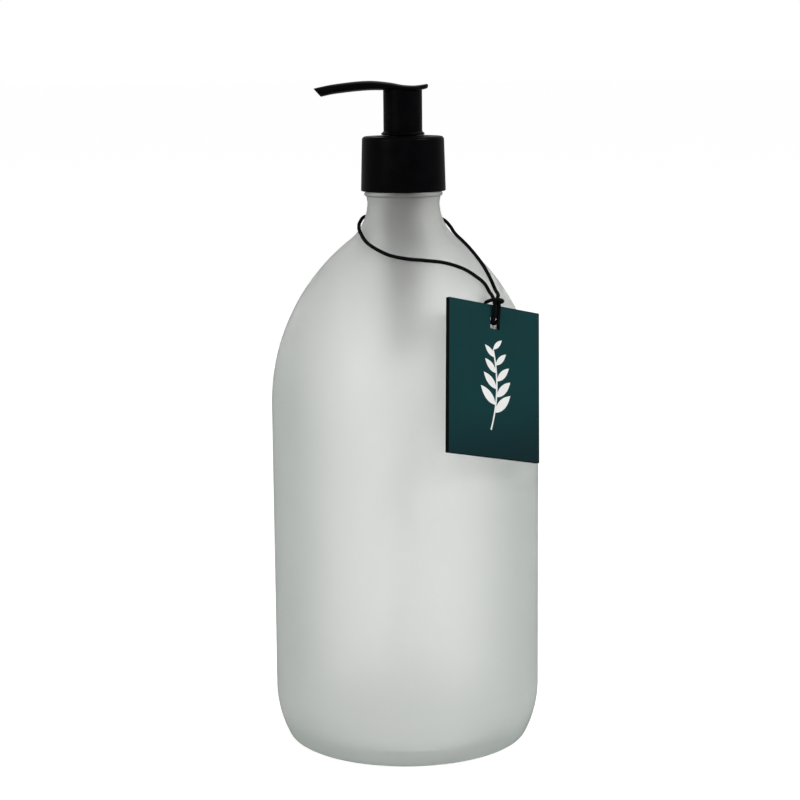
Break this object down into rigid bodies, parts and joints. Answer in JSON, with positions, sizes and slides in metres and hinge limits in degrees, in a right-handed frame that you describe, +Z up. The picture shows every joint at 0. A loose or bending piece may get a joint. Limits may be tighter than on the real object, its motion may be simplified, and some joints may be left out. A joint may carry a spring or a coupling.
{
  "type": "glass pump bottle",
  "caption": "Frosted glass bottle with a round shoulder, a screw-on lock-down lotion pump and a card tag on an elastic cord.",
  "frame": {"origin": "on the bottle's axis, at the surface that the bottle stands on", "axes": "+Z up along the bottle's axis, the spout points to -X, the tag hangs at the front right, where front is -Y"},
  "size_m": [0.095, 0.1067, 0.2348],
  "materials": {
    "frosted_glass": "acid-frosted outside, clear glass with a faint green tint",
    "black_plastic": "moulded, satin gloss",
    "housing_plastic": "moulded, plain",
    "gasket_foam": "foamed sheet",
    "natural_plastic": "natural, milky",
    "piston_plastic": "soft natural plastic",
    "spring_steel": "bright drawn",
    "teal_card": "matt coated card, black core",
    "elastic_cord": "braided elastic"
  },
  "bodies": {
    "bottle": {"glass_bottle": "frosted_glass", "tag_cord": "elastic_cord", "hang_tag": "teal_card"},
    "neck_seal": {"neck_gasket": "gasket_foam"},
    "pump": {"pump_housing": "housing_plastic", "lock_ring": "black_plastic", "dip_tube": "natural_plastic", "return_spring": "spring_steel"},
    "collar": {"closure_collar": "black_plastic"},
    "seat": {"piston_seat": "natural_plastic"},
    "piston": {"piston": "piston_plastic"},
    "head": {"pump_head": "black_plastic", "pump_stem": "natural_plastic"},
    "ball": {"inlet_ball": "spring_steel"}
  },
  "joints": [
    {"name": "thread_rise", "type": "slide", "parent": "bottle", "child": "neck_seal", "axis": [0, 0, 1], "range_m": [0, 0.0064]},
    {"name": "pump_lift", "type": "slide", "parent": "neck_seal", "child": "pump", "axis": [0, 0, 1], "range_m": [0, 0.215]},
    {"name": "collar_turn", "type": "hinge", "parent": "pump", "child": "collar", "pos_m": [0, 0, 0.2061], "axis": [0, 0, 1], "range_deg": [0, 540]},
    {"name": "head_stroke", "type": "slide", "parent": "pump", "child": "seat", "axis": [0, 0, 1], "range_m": [0, 0.015], "deforming": ["return_spring"]},
    {"name": "piston_slip", "type": "slide", "parent": "seat", "child": "piston", "axis": [0, 0, 1], "range_m": [0, 0.0012]},
    {"name": "head_turn", "type": "hinge", "parent": "seat", "child": "head", "pos_m": [0, 0, 0.225], "axis": [0, 0, 1], "continuous": true},
    {"name": "ball_lift", "type": "slide", "parent": "pump", "child": "ball", "axis": [0, 0, 1], "range_m": [0, 0.0018]}
  ],
  "couplings": [
    {"joint": "thread_rise", "follows": "collar_turn", "m_per_rad": 0.0006737}
  ]
}
